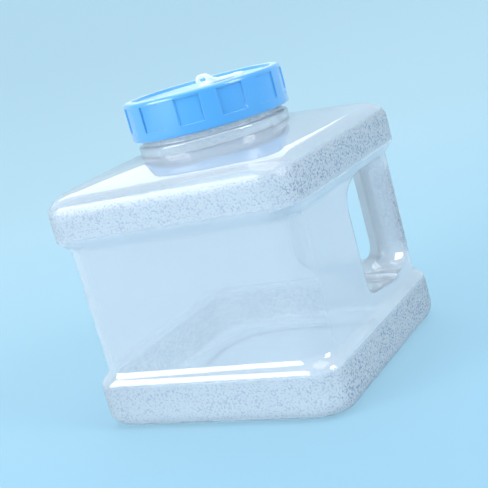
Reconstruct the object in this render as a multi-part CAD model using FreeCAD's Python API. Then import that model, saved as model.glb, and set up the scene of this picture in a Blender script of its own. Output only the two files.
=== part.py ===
"""Square wide-mouth storage jug: a blow-moulded clear body with a hollow handle across one notched corner,
a ribbed screw cap with its sealing ring, and a soft vent plug that is tethered to the cap.

Millimetres, +Z up. The origin is on the standing plane, under the neck's axis. The front panel faces -Y,
and the handle stands at the +X +Y corner.
"""

import FreeCAD
import Part

import math
import os

from FreeCAD import Vector

UP = Vector(0, 0, 1)
ORIGIN = Vector(0, 0, 0)
ROOT_TWO = math.sqrt(2)
EMBED = 0.4  # how far a fused feature is sunk into its neighbour, so that no two faces merely touch
LOFT_DEGREE = 3  # of the curves through a smooth loft's stations

# ---- jug body: width and levels -------------------------------------------------------------------------
BODY_WIDTH = 190.0
BAND_CORNER = 18.0  # corner radius of the two textured bands, seen from above
PANEL_INSET = 5.0  # how far the plain panels stand back from the bands
PANEL_CORNER = 20.0
WALL = 1.6

STANDING_EDGE = 6.0  # chamfered lower edge of the base band
BASE_BAND_HEIGHT = 34.0
BASE_SLOPE_RISE = 6.5
PANEL_HEIGHT = 90.0
UPPER_SLOPE_RISE = 7.5
UPPER_BAND_HEIGHT = 21.0
SHOULDER_RISE = 18.0

BASE_RECESS_MARGIN = 21.0  # width of the standing ring round the recess under the base
BASE_RECESS_CORNER = 34.0
BASE_RECESS_DEPTH = 8.0
BASE_RECESS_SLOPE = 16.0  # how far the recess narrows on its way up

# ---- corner notch and handle ----------------------------------------------------------------------------
GRIP_DEPTH = 24.5  # along the diagonal
GRIP_WIDTH = 30.0  # across the diagonal
GRIP_EDGE = 9.0
FINGER_GAP = 37.5
NOTCH_TOP_BLEND = 16.0
NOTCH_FOOT_BLEND = 5.0
NOTCH_FLOOR_RISE = 11.7  # the notch floor above the base slope, at the notch wall
NOTCH_FLOOR_LIP = 0.5  # and at the outer corner
FOOT_BLEND = 15.0  # radius under the grip, where it turns into its foot
FOOT_RISE = 4.0  # the foot above the notch floor
FOOT_NEAR_WIDTH = 26.0  # the foot at the notch wall
FOOT_FAR_WIDTH = 90.0  # the foot at the outer corner
FOOT_EDGE = 2.4

# ---- neck and thread ------------------------------------------------------------------------------------
NECK_RADIUS = 50.3
NECK_WALL = 2.5
COLLAR_REACH = 3.4
COLLAR_HEIGHT = 7.0
COLLAR_EDGE = 1.6
NECK_HEIGHT = 25.0  # above the collar
NECK_LIP_EDGE = 0.8
THREAD_PITCH = 6.0
THREAD_DEPTH = 1.9
THREAD_ROOT_WIDTH = 2.6
THREAD_CREST_WIDTH = 1.2
THREAD_LEAD_IN = 4.0  # lip to the top of the neck's thread
NECK_THREAD_TURNS = 1.5
CAP_THREAD_TURNS = 1.1
THREAD_PLAY = 0.3  # axial, between the two threads
THREAD_CLEARANCE = 0.4  # radial

# ---- cap ------------------------------------------------------------------------------------------------
CAP_WALL = 2.2
CAP_GAP = 4.0  # collar to the cap's lower edge
CAP_TOP_EDGE = 4.2
CAP_FOOT_EDGE = 1.2
DECK_THICKNESS = 2.0
RIM_HEIGHT = 2.3
RIM_WIDTH = 6.5
POCKET_COUNT = 12
POCKET_ANGLE = 18.5
POCKET_DEPTH = 1.2
POCKET_FOOT = 6.2  # cap's lower edge to the pocket
POCKET_HEAD = 3.2  # pocket to the cap's top
POCKET_TURN = -11.0  # angle of the first pocket's middle
SPIGOT_WALL = 2.0
SPIGOT_HEIGHT = 6.0
SPIGOT_CLEARANCE = 1.0

# ---- sealing ring ---------------------------------------------------------------------------------------
SEAL_THICKNESS = 2.0
SEAL_CLEARANCE = 0.3

# ---- vent plug and its tether ---------------------------------------------------------------------------
VENT_DIRECTION = 31.5  # degrees from +X to the tether, seen from above
VENT_POSITION = 2.5  # along the tether from the point on its line nearest the cap's axis
VENT_OFFSET = -12.0  # across the tether
VENT_RADIUS = 3.1
PLUG_CLEARANCE = 0.15
PLUG_TAPER = 0.95
PLUG_LENGTH = 3.4
PLUG_HEAD_RADIUS = 4.4
PLUG_HEAD_HEIGHT = 1.2
KNOB_WIDTH = 11.2
KNOB_HEIGHT = 8.2  # above the deck
KNOB_THICKNESS = 4.4
KNOB_EDGE = 1.5
KNOB_HOLE_WIDTH = 5.2
KNOB_HOLE_HEIGHT = 2.6
KNOB_HOLE_LEVEL = 3.4  # its middle above the deck
TETHER_LENGTH = 24.0  # vent hole to anchor hole
TETHER_WIDTH = 4.6
TETHER_THICKNESS = 2.8
TETHER_LIFT = 0.4  # tether above the deck
HINGE_REACH = 5.0  # anchor hole to the bend
ANCHOR_HOLE_RADIUS = 2.0
ANCHOR_CLEARANCE = 0.1
ANCHOR_HEAD_RADIUS = 3.4
BARB_OVERHANG = 1.0
BARB_HEIGHT = 1.5

# ---- worked out -----------------------------------------------------------------------------------------
BAND_HALF = BODY_WIDTH / 2
PANEL_HALF = BAND_HALF - PANEL_INSET
BASE_SLOPE_TOP = BASE_BAND_HEIGHT + BASE_SLOPE_RISE
PANEL_TOP = BASE_SLOPE_TOP + PANEL_HEIGHT
UPPER_BAND_FOOT = PANEL_TOP + UPPER_SLOPE_RISE
UPPER_BAND_TOP = UPPER_BAND_FOOT + UPPER_BAND_HEIGHT
SHOULDER_TOP = UPPER_BAND_TOP + SHOULDER_RISE

CORNER_REACH = (PANEL_HALF - PANEL_CORNER) * ROOT_TWO + PANEL_CORNER  # panel corner from the axis
GRIP_INNER = CORNER_REACH - GRIP_DEPTH
NOTCH_WALL = GRIP_INNER - FINGER_GAP
NOTCH_FLOOR = BASE_SLOPE_TOP + NOTCH_FLOOR_RISE
NOTCH_FALL = (NOTCH_FLOOR_RISE - NOTCH_FLOOR_LIP) / (CORNER_REACH - NOTCH_WALL)

COLLAR_RADIUS = NECK_RADIUS + COLLAR_REACH
COLLAR_TOP = SHOULDER_TOP + COLLAR_HEIGHT
LIP = COLLAR_TOP + NECK_HEIGHT
MOUTH_RADIUS = NECK_RADIUS - NECK_WALL
NECK_THREAD_START = LIP - THREAD_LEAD_IN - NECK_THREAD_TURNS * THREAD_PITCH
THREAD_DROP = (THREAD_ROOT_WIDTH + THREAD_CREST_WIDTH) / 2 + THREAD_PLAY

CAP_BORE = NECK_RADIUS + THREAD_DEPTH + THREAD_CLEARANCE
CAP_RADIUS = CAP_BORE + CAP_WALL + POCKET_DEPTH
CAP_FOOT = COLLAR_TOP + CAP_GAP
DECK_FOOT = LIP + SEAL_THICKNESS
DECK_TOP = DECK_FOOT + DECK_THICKNESS
CAP_TOP = DECK_TOP + RIM_HEIGHT
SPIGOT_RADIUS = MOUTH_RADIUS - SPIGOT_CLEARANCE
TETHER_TOP = DECK_TOP + TETHER_LIFT + TETHER_THICKNESS
HINGE_ALONG = TETHER_LENGTH - HINGE_REACH


# ---- helpers --------------------------------------------------------------------------------------------
def rounded_square(half, corner, z):
    """Closed wire of four lines and four arcs, centred on the axis at height z."""
    flat = half - corner
    bulge = corner / ROOT_TWO
    edges = []
    for quarter in range(4):
        turn = FreeCAD.Rotation(UP, 90 * quarter)

        def at(x, y):
            return turn.multVec(Vector(x, y, 0)) + Vector(0, 0, z)

        edges.append(Part.makeLine(at(half, -flat), at(half, flat)))
        edges.append(Part.Arc(at(half, flat), at(flat + bulge, flat + bulge), at(flat, half)).toShape())
    return Part.Wire(edges)


def loft(stations, ruled=True):
    """Solid through rounded squares given as (half width, corner radius, height), in cubics unless ruled."""
    return Part.makeLoft([rounded_square(*station) for station in stations], True, ruled, False, LOFT_DEGREE)


def inset_stations(stations, inset):
    """The stations moved square to the profile by inset, towards the inside of the body."""
    moved = []
    for index, (half, corner, z) in enumerate(stations):
        normals = []
        for a, b in ((index - 1, index), (index, index + 1)):
            if a < 0 or b >= len(stations):
                continue
            run = stations[b][0] - stations[a][0]
            rise = stations[b][2] - stations[a][2]
            length = math.hypot(run, rise)
            normals.append((-rise / length, run / length))
        across = sum(n[0] for n in normals) / len(normals)
        along = sum(n[1] for n in normals) / len(normals)
        miter = inset / (across**2 + along**2)
        moved.append((half + across * miter, corner + across * miter, z + along * miter))
    return moved


def polyline_face(points):
    """Face in the XZ plane bounded by straight lines between (x, z) points."""
    corners = [Vector(x, 0, z) for x, z in points]
    return Part.Face(Part.makePolygon(corners + corners[:1]))


def turned(points):
    """Solid of revolution about the axis from (radius, z) points."""
    return polyline_face(points).revolve(ORIGIN, UP, 360)


def ring(inner, outer, low, high):
    """Plain ring about the axis."""
    return turned([(inner, low), (outer, low), (outer, high), (inner, high)])


def cylinder(radius, low, high):
    """Upright cylinder on the axis."""
    return Part.makeCylinder(radius, high - low, Vector(0, 0, low))


def slab(profile, half_width):
    """An XZ-plane face made solid, from -half_width to half_width along Y."""
    face = profile.copy()
    face.translate(Vector(0, -half_width, 0))
    return face.extrude(Vector(0, 2 * half_width, 0))


def filleted_face(points, radii):
    """XZ-plane face from (x, z) points, where each point named in radii (index to radius) is rounded."""
    count = len(points)
    starts, ends, arcs = [], [], []
    for index, (x, z) in enumerate(points):
        here = Vector(x, 0, z)
        radius = radii.get(index, 0)
        if not radius:
            starts.append(here)
            ends.append(here)
            arcs.append(None)
            continue
        before = (Vector(points[index - 1][0], 0, points[index - 1][1]) - here).normalize()
        after_x, after_z = points[(index + 1) % count]
        after = (Vector(after_x, 0, after_z) - here).normalize()
        half_angle = before.getAngle(after) / 2
        tangent = radius / math.tan(half_angle)
        middle = (before + after).normalize()
        peak = here + middle * (radius / math.sin(half_angle) - radius)
        starts.append(here + before * tangent)
        ends.append(here + after * tangent)
        arcs.append(Part.Arc(starts[-1], peak, ends[-1]).toShape())
    edges = []
    for index in range(count):
        if arcs[index]:
            edges.append(arcs[index])
        edges.append(Part.makeLine(ends[index], starts[(index + 1) % count]))
    return Part.Face(Part.Wire(edges))


def on_diagonal(shape):
    """Turns a shape made along +X to the +X +Y diagonal."""
    shape.rotate(ORIGIN, UP, 45)
    return shape


def thread(root, crest, start, turns):
    """Right-hand helical ridge from the root radius to the crest radius."""
    sunk = root - math.copysign(EMBED, crest - root)
    helix = Part.makeHelix(THREAD_PITCH, turns * THREAD_PITCH, root)
    helix.translate(Vector(0, 0, start))
    outline = Part.makePolygon([
        Vector(sunk, 0, start - THREAD_ROOT_WIDTH / 2),
        Vector(crest, 0, start - THREAD_CREST_WIDTH / 2),
        Vector(crest, 0, start + THREAD_CREST_WIDTH / 2),
        Vector(sunk, 0, start + THREAD_ROOT_WIDTH / 2),
        Vector(sunk, 0, start - THREAD_ROOT_WIDTH / 2),
    ])
    return Part.Wire(helix.Edges).makePipeShell([outline], True, True)


# ---- jug body -------------------------------------------------------------------------------------------
def trunk_stations():
    """Profile of the body up to the shoulder, as (half width, corner radius, height)."""
    return [
        (BAND_HALF - STANDING_EDGE, BAND_CORNER - STANDING_EDGE / 2, 0),
        (BAND_HALF - STANDING_EDGE / 3, BAND_CORNER - STANDING_EDGE / 6, STANDING_EDGE / 3),
        (BAND_HALF, BAND_CORNER, STANDING_EDGE),
        (BAND_HALF, BAND_CORNER, BASE_BAND_HEIGHT),
        (PANEL_HALF, PANEL_CORNER, BASE_SLOPE_TOP),
        (PANEL_HALF, PANEL_CORNER, PANEL_TOP),
        (BAND_HALF, BAND_CORNER, UPPER_BAND_FOOT),
        (BAND_HALF, BAND_CORNER, UPPER_BAND_TOP),
    ]


def shoulder_stations():
    """Profile of the shoulder, which turns from a rounded square into a near circle at the collar."""
    top_half = COLLAR_RADIUS
    top_corner = COLLAR_RADIUS - 1.0
    stations = []
    for inward, upward, rounding in (
        (0.0, 0.0, 0.0),
        (0.035, 0.22, 0.03),
        (0.12, 0.42, 0.10),
        (0.30, 0.60, 0.27),
        (0.62, 0.81, 0.60),
        (1.0, 1.0, 1.0),
    ):
        stations.append((
            BAND_HALF + (top_half - BAND_HALF) * inward,
            BAND_CORNER + (top_corner - BAND_CORNER) * rounding,
            UPPER_BAND_TOP + SHOULDER_RISE * upward,
        ))
    return stations


def base_recess(grow):
    """The hollow pushed up under the base, larger by grow."""
    half = BAND_HALF - BASE_RECESS_MARGIN + grow
    corner = BASE_RECESS_CORNER + grow
    return loft([
        (half, corner, -EMBED),
        (half, corner, grow / 2),
        (half - BASE_RECESS_SLOPE, corner, BASE_RECESS_DEPTH + grow),
    ])


def notch_floor(reach):
    """Height of the notch floor at a distance from the axis along the diagonal."""
    return NOTCH_FLOOR - NOTCH_FALL * (reach - NOTCH_WALL)


def notch(grow):
    """The space cut from the corner behind the grip, larger by grow."""
    inner = NOTCH_WALL - grow
    outer = BODY_WIDTH
    top = PANEL_TOP + grow
    points = [(inner, notch_floor(inner) - grow), (outer, notch_floor(outer) - grow), (outer, top), (inner, top)]
    face = filleted_face(points, {0: NOTCH_FOOT_BLEND + grow, 3: NOTCH_TOP_BLEND + grow})
    return on_diagonal(slab(face, BODY_WIDTH))


def panel_prism(inset, low, high):
    """The panels' outline as an upright prism."""
    return loft([
        (PANEL_HALF - inset, PANEL_CORNER - inset, low),
        (PANEL_HALF - inset, PANEL_CORNER - inset, high),
    ])


def grip(inset):
    """The grip and the web that carries it along the notch floor, smaller by inset all round."""
    root = NOTCH_WALL - 2 * NOTCH_FOOT_BLEND
    low = BASE_BAND_HEIGHT
    high = UPPER_BAND_FOOT
    inner = GRIP_INNER + inset
    rise = FOOT_RISE - inset
    half_width = GRIP_WIDTH / 2 - inset
    points = [
        (root, low),
        (BODY_WIDTH, low),
        (BODY_WIDTH, high),
        (inner, high),
        (inner, notch_floor(inner) + rise),
        (root, notch_floor(root) + rise),
    ]
    plate = slab(filleted_face(points, {4: FOOT_BLEND + inset}), half_width)
    rim = []
    for edge in plate.Edges:
        box = edge.BoundBox
        at_side = box.YLength < EMBED and abs(box.YMin) > half_width - EMBED
        if at_side and box.XMax < inner + EMBED and box.ZMin > low + EMBED:
            rim.append(edge)
    plate = plate.makeFillet(GRIP_EDGE - inset, rim)
    return on_diagonal(plate).common(panel_prism(inset, low, high))


def grip_foot(inset):
    """The low pad on the notch floor that spreads from the web to the outer corner, smaller by inset."""
    spread = (FOOT_FAR_WIDTH - FOOT_NEAR_WIDTH) / (CORNER_REACH - NOTCH_WALL)
    wires = []
    for reach in (NOTCH_WALL - NOTCH_FOOT_BLEND, CORNER_REACH + EMBED):
        half = (FOOT_NEAR_WIDTH + spread * (reach - NOTCH_WALL)) / 2 - inset
        top = notch_floor(reach) + FOOT_RISE - EMBED - inset
        corners = [(-half, BASE_BAND_HEIGHT), (half, BASE_BAND_HEIGHT), (half, top), (-half, top)]
        outline = filleted_face(corners, {2: FOOT_EDGE, 3: FOOT_EDGE})
        outline.rotate(ORIGIN, UP, 90)
        outline.translate(Vector(reach, 0, 0))
        wires.append(outline.OuterWire)
    pad = Part.makeLoft(wires, True, True)
    return on_diagonal(pad).common(panel_prism(inset, BASE_BAND_HEIGHT, PANEL_TOP))


def hull(inset):
    """The whole body without its neck as a filled solid, smaller by inset."""
    trunk = loft(inset_stations(trunk_stations(), inset))
    shoulder = loft(inset_stations(shoulder_stations(), inset), ruled=False)
    cut = trunk.fuse(shoulder).cut(notch(inset))
    return cut.fuse([grip(inset), grip_foot(inset)]).cut(base_recess(inset))


def neck():
    """The collar, the threaded neck and its lip, bored through."""
    tube = turned([
        (MOUTH_RADIUS - EMBED, SHOULDER_TOP - 2 * WALL),
        (NECK_RADIUS, SHOULDER_TOP - 2 * WALL),
        (NECK_RADIUS, SHOULDER_TOP),
        (COLLAR_RADIUS - COLLAR_EDGE, SHOULDER_TOP),
        (COLLAR_RADIUS, SHOULDER_TOP + COLLAR_EDGE),
        (COLLAR_RADIUS, COLLAR_TOP - COLLAR_EDGE),
        (COLLAR_RADIUS - COLLAR_EDGE, COLLAR_TOP),
        (NECK_RADIUS, COLLAR_TOP),
        (NECK_RADIUS, LIP - NECK_LIP_EDGE),
        (NECK_RADIUS - NECK_LIP_EDGE, LIP),
        (MOUTH_RADIUS - EMBED, LIP),
    ])
    return tube.fuse(thread(NECK_RADIUS, NECK_RADIUS + THREAD_DEPTH, NECK_THREAD_START, NECK_THREAD_TURNS))


def jug_body():
    """Blow-moulded body: an even wall round one cavity that runs on through the handle."""
    shell = hull(0).cut(hull(WALL))
    mouth = cylinder(MOUTH_RADIUS, UPPER_BAND_TOP, LIP + EMBED)
    return shell.fuse(neck()).cut(mouth).removeSplitter()


# ---- cap ------------------------------------------------------------------------------------------------
def along_tether(along):
    """Point on the cap's deck, measured from the vent hole towards the anchor."""
    direction = FreeCAD.Rotation(UP, VENT_DIRECTION)
    return direction.multVec(Vector(VENT_POSITION + along, VENT_OFFSET, 0))


def cap_shell():
    """Skirt, deck and rim of the cap, with the spigot that holds the sealing ring."""
    rim_inner = CAP_RADIUS - RIM_WIDTH
    outline = [
        (0, DECK_FOOT),
        (SPIGOT_RADIUS - SPIGOT_WALL, DECK_FOOT),
        (SPIGOT_RADIUS - SPIGOT_WALL, DECK_FOOT - SPIGOT_HEIGHT),
        (SPIGOT_RADIUS, DECK_FOOT - SPIGOT_HEIGHT),
        (SPIGOT_RADIUS, DECK_FOOT),
        (CAP_BORE, DECK_FOOT),
        (CAP_BORE, CAP_FOOT),
        (CAP_RADIUS, CAP_FOOT),
        (CAP_RADIUS, CAP_TOP),
        (rim_inner, CAP_TOP),
        (rim_inner - RIM_HEIGHT / 2, DECK_TOP),
        (0, DECK_TOP),
    ]
    face = filleted_face(outline, {7: CAP_FOOT_EDGE, 8: CAP_TOP_EDGE, 9: RIM_HEIGHT / 3})
    return face.revolve(ORIGIN, UP, 360)


def pockets():
    """The finger pockets round the skirt."""
    floor = CAP_RADIUS - POCKET_DEPTH
    rect = polyline_face([
        (floor, CAP_FOOT + POCKET_FOOT),
        (CAP_RADIUS + POCKET_DEPTH, CAP_FOOT + POCKET_FOOT),
        (CAP_RADIUS + POCKET_DEPTH, CAP_TOP - POCKET_HEAD),
        (floor, CAP_TOP - POCKET_HEAD),
    ])
    cuts = []
    for index in range(POCKET_COUNT):
        cut = rect.revolve(ORIGIN, UP, POCKET_ANGLE)
        cut.rotate(ORIGIN, UP, POCKET_TURN - POCKET_ANGLE / 2 + index * 360 / POCKET_COUNT)
        cuts.append(cut)
    return cuts


def screw_cap():
    """Cap with its internal thread, pockets, vent hole and anchor hole."""
    ridge = thread(
        CAP_BORE, NECK_RADIUS + THREAD_CLEARANCE, NECK_THREAD_START - THREAD_DROP, CAP_THREAD_TURNS
    )
    holes = []
    for along, radius in ((0, VENT_RADIUS), (TETHER_LENGTH, ANCHOR_HOLE_RADIUS)):
        hole = cylinder(radius, DECK_FOOT - EMBED, CAP_TOP)
        hole.translate(along_tether(along))
        holes.append(hole)
    return cap_shell().fuse(ridge).cut(pockets() + holes).removeSplitter()


def cap_seal():
    """Flat ring between the cap's deck and the lip, kept central by the spigot."""
    return ring(SPIGOT_RADIUS + SEAL_CLEARANCE, CAP_BORE - SEAL_CLEARANCE, LIP, DECK_FOOT)


# ---- vent plug ------------------------------------------------------------------------------------------
def placed_on_deck(shape):
    """Moves a shape made with the vent hole at the origin, and the tether along +X, to its place."""
    shape.rotate(ORIGIN, UP, VENT_DIRECTION)
    shape.translate(along_tether(0))
    return shape


def tether(start, end):
    """A stretch of the strap, measured from the vent hole."""
    corner = Vector(start, -TETHER_WIDTH / 2, DECK_TOP + TETHER_LIFT)
    return Part.makeBox(end - start, TETHER_WIDTH, TETHER_THICKNESS, corner)


def knob():
    """Upright pull tab with a finger hole."""
    half = KNOB_WIDTH / 2
    foot, top = DECK_TOP + PLUG_HEAD_HEIGHT / 2, DECK_TOP + KNOB_HEIGHT
    rounding = (top - foot) / 2 - EMBED
    outline = filleted_face(
        [(-half, foot), (half, foot), (half, top), (-half, top)], {corner: rounding for corner in range(4)}
    )
    tab = slab(outline, KNOB_THICKNESS / 2)
    tab = tab.makeFillet(KNOB_EDGE, [edge for edge in tab.Edges if edge.BoundBox.YLength < EMBED])
    half = KNOB_HOLE_WIDTH / 2
    middle = DECK_TOP + KNOB_HOLE_LEVEL
    foot, top = middle - KNOB_HOLE_HEIGHT / 2, middle + KNOB_HOLE_HEIGHT / 2
    rounding = KNOB_HOLE_HEIGHT / 2 - EMBED
    opening = filleted_face(
        [(-half, foot), (half, foot), (half, top), (-half, top)], {corner: rounding for corner in range(4)}
    )
    return tab.cut(slab(opening, KNOB_THICKNESS))


def vent_plug():
    """Tapered plug with its head, pull tab and strap, as far as the bend."""
    top_radius = VENT_RADIUS - PLUG_CLEARANCE
    head = cylinder(PLUG_HEAD_RADIUS, DECK_TOP, DECK_TOP + PLUG_HEAD_HEIGHT)
    stem = Part.makeCone(top_radius - PLUG_TAPER, top_radius, PLUG_LENGTH, Vector(0, 0, DECK_TOP - PLUG_LENGTH))
    strap = tether(KNOB_WIDTH / 2 - KNOB_EDGE, HINGE_ALONG)
    return placed_on_deck(head.fuse([stem, knob(), strap]).removeSplitter())


def vent_anchor():
    """The strap's fixed end: a button held by a barbed stem in the deck."""
    stem_radius = ANCHOR_HOLE_RADIUS - ANCHOR_CLEARANCE
    barb_foot = DECK_FOOT - BARB_HEIGHT
    stalk = [
        cylinder(ANCHOR_HEAD_RADIUS, DECK_TOP, TETHER_TOP),
        cylinder(stem_radius, barb_foot, DECK_TOP + EMBED),
        Part.makeCone(stem_radius, stem_radius + BARB_OVERHANG, BARB_HEIGHT, Vector(0, 0, barb_foot)),
    ]
    for piece in stalk:
        piece.translate(Vector(TETHER_LENGTH, 0, 0))
    return placed_on_deck(tether(HINGE_ALONG, TETHER_LENGTH).fuse(stalk).removeSplitter())


NODES = {
    "jug_body": jug_body,
    "screw_cap": screw_cap,
    "cap_seal": cap_seal,
    "vent_plug": vent_plug,
    "vent_anchor": vent_anchor,
}


def main():
    """Builds every node and writes it to parts/."""
    os.makedirs("parts", exist_ok=True)
    for name, build in NODES.items():
        shape = build()
        print(f"{name}: valid {shape.isValid()}, solids {len(shape.Solids)}, volume {shape.Volume:.0f} mm3")
        shape.exportStep(os.path.join("parts", name + ".step"))


main()
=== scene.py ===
"""Clear square storage jug with a corner handle, a blue screw cap and a tethered white vent plug.

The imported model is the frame. Its boxes give the overall sizes and places, and each class below makes the
finished surface of one sub-assembly around it. Units are metres, and Z is up. The front panel faces -Y, and
the handle is at +X +Y.
"""

import logging
import math
from collections.abc import Callable, Sequence
from dataclasses import dataclass
from enum import Enum

import bmesh
import bpy
import numpy as np
from mathutils import Matrix, Vector

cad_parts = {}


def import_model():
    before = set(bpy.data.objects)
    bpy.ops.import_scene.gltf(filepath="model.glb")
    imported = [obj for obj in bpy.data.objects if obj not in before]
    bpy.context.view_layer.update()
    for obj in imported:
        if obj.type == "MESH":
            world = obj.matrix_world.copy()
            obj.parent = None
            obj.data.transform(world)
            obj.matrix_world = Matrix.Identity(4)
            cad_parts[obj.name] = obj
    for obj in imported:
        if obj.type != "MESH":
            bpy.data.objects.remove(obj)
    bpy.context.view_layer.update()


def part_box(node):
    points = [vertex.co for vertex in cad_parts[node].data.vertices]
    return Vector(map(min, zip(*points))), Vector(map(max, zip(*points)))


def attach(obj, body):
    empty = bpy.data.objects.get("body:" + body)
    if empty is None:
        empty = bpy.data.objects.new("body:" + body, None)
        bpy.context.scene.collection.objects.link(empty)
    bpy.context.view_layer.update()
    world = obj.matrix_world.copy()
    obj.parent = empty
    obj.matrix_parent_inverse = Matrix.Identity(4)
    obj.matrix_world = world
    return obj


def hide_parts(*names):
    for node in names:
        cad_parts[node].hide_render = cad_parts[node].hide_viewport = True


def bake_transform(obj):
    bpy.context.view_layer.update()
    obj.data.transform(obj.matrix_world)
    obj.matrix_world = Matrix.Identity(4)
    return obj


LOG = logging.getLogger("storage_jug")
MM = 0.001
TOUCHING = 0.003 * MM
ON_AXIS = 1e-9
RIGHT_ANGLE = 90.0
DIAGONAL = math.sqrt(2)
Outline = list[tuple[float, float]]
Field = Callable[[np.ndarray], np.ndarray]
Colour = tuple[float, float, float]
Socket = bpy.types.NodeSocket


class Operation(Enum):
    """How a Boolean joins two closed meshes."""

    JOIN = "UNION"
    CUT = "DIFFERENCE"


# ---- distances ------------------------------------------------------------------------------------------
def soft_max(first: np.ndarray, second: np.ndarray, reach: float | np.ndarray) -> np.ndarray:
    """Greater of two distances, rounded over where they are nearly equal.

    Args:
        first: Signed distances to one surface.
        second: Signed distances to the other.
        reach: Difference of distance below which the two blend.

    Returns:
        Signed distances to what both surfaces enclose.
    """
    overlap = np.maximum(reach - np.abs(first - second), 0.0)
    return np.maximum(first, second) + overlap**2 / (4 * reach)


def soft_min(first: np.ndarray, second: np.ndarray, reach: float) -> np.ndarray:
    """Lesser of two distances, filled in where they are nearly equal.

    Args:
        first: Signed distances to one surface.
        second: Signed distances to the other.
        reach: Difference of distance below which the two blend.

    Returns:
        Signed distances to what either surface encloses.
    """
    return -soft_max(-first, -second, reach)


def reach_for(radius: float, turn: float = RIGHT_ANGLE) -> float:
    """Reach of a blend that rounds an edge.

    Args:
        radius: Radius of the rounded edge.
        turn: Degrees that the surface turns by at the edge.

    Returns:
        The reach for soft_max or soft_min.
    """
    half = math.radians(turn) / 2
    return 2 * math.sin(half) * math.tan(half) * radius


def outside_box(first: np.ndarray, second: np.ndarray, corner: float | np.ndarray) -> np.ndarray:
    """Signed distance to a box with a rounded corner, from the distances past the corner's centre.

    Args:
        first: Distances past the centre along one side.
        second: Distances past it along the other.
        corner: The corner's radius.

    Returns:
        One distance for each pair.
    """
    beyond = np.hypot(np.maximum(first, 0), np.maximum(second, 0))
    return beyond + np.minimum(np.maximum(first, second), 0) - corner


def eased(share: np.ndarray | float) -> np.ndarray | float:
    """Turns an even rise from 0 to 1 into one that starts and ends level."""
    return share * share * (3 - 2 * share)


def from_line(
    x: np.ndarray, z: np.ndarray, start: tuple[float, float], end: tuple[float, float]
) -> np.ndarray:
    """Signed distance from the line through two points, positive on its right hand side.

    Args:
        x: First coordinates.
        z: Second coordinates.
        start: A point on the line.
        end: Another point on it.

    Returns:
        One distance for each coordinate pair.
    """
    run, rise = end[0] - start[0], end[1] - start[1]
    return ((x - start[0]) * rise - (z - start[1]) * run) / math.hypot(run, rise)


# ---- meshes ---------------------------------------------------------------------------------------------
def grid_line(*stops: tuple[float, float]) -> np.ndarray:
    """Positions of grid planes along one axis.

    Args:
        stops: Pairs of a start and the spacing from there on. The last pair only ends the line.

    Returns:
        The positions in rising order.
    """
    stretches = []
    for (start, spacing), (end, _) in zip(stops, stops[1:]):
        count = max(1, round((end - start) / spacing))
        stretches.append(np.linspace(start, end, count, endpoint=False))
    return np.concatenate([*stretches, [stops[-1][0]]])


@dataclass
class SurfaceNet:
    """Meshes the surface where a field of signed distances is zero."""

    field: Field
    lines: tuple[np.ndarray, np.ndarray, np.ndarray]
    probe: float = 0.05 * MM
    passes: int = 4
    least_square: float = 1e-4
    least_length: float = 1e-12

    def slope(self, points: np.ndarray) -> np.ndarray:
        """Gradient of the field.

        Args:
            points: Rows of coordinates.

        Returns:
            One gradient for each row.
        """
        columns = []
        for axis in range(3):
            step = np.zeros(3)
            step[axis] = self.probe
            columns.append(self.field(points + step) - self.field(points - step))
        return np.stack(columns, axis=1) / (2 * self.probe)

    def settle(self, points: np.ndarray, furthest: float) -> np.ndarray:
        """Moves points along the gradient onto the surface.

        Args:
            points: Rows of coordinates near the surface.
            furthest: The most that a point moves in one pass.

        Returns:
            The moved points.
        """
        for _ in range(self.passes):
            slope = self.slope(points)
            square = np.maximum((slope**2).sum(axis=1), self.least_square)
            move = (self.field(points) / square)[:, None] * slope
            length = np.linalg.norm(move, axis=1, keepdims=True)
            points = points - move * np.minimum(1.0, furthest / np.maximum(length, self.least_length))
        return points

    def build(self) -> tuple[np.ndarray, np.ndarray]:
        """One vertex in each cell that the surface crosses, and one quad round each edge that it crosses.

        Returns:
            The vertices, on the surface, and the quads, whose normals point to where the field is positive.
        """
        grid = np.stack(np.meshgrid(*self.lines, indexing="ij"), axis=-1)
        values = self.field(grid.reshape(-1, 3)).reshape(grid.shape[:3])
        cells = tuple(size - 1 for size in values.shape)
        total = int(np.prod(cells))
        sums, hits, quads = np.zeros((total, 3)), np.zeros(total), []
        for axis in range(3):
            low = np.take(values, range(cells[axis]), axis)
            high = np.take(values, range(1, cells[axis] + 1), axis)
            where = np.argwhere((low < 0) != (high < 0))
            start, stop = low[tuple(where.T)], high[tuple(where.T)]
            points = np.stack([self.lines[k][where[:, k]] for k in range(3)], axis=1)
            length = self.lines[axis][where[:, axis] + 1] - self.lines[axis][where[:, axis]]
            points[:, axis] += length * start / (start - stop)
            corners = []
            for aside, along in ((0, 0), (-1, 0), (-1, -1), (0, -1)):
                cell = where.copy()
                cell[:, (axis + 1) % 3] += aside
                cell[:, (axis + 2) % 3] += along
                corners.append(np.ravel_multi_index(cell.T, cells))
                hits += np.bincount(corners[-1], minlength=total)
                for k in range(3):
                    sums[:, k] += np.bincount(corners[-1], points[:, k], minlength=total)
            ring = np.stack(corners, axis=1)
            quads.append(np.where((start < 0)[:, None], ring, ring[:, ::-1]))
        used = hits > 0
        number = np.cumsum(used) - 1
        vertices = sums[used] / hits[used, None]
        spacing = min(np.diff(line).min() for line in self.lines)
        return self.settle(vertices, spacing), number[np.concatenate(quads)]


def new_object(name: str, mesh: bpy.types.Mesh) -> bpy.types.Object:
    """Links a new object to the scene.

    Args:
        name: The object's name.
        mesh: The mesh that it shows.

    Returns:
        The object.
    """
    thing = bpy.data.objects.new(name, mesh)
    bpy.context.scene.collection.objects.link(thing)
    return thing


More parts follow.
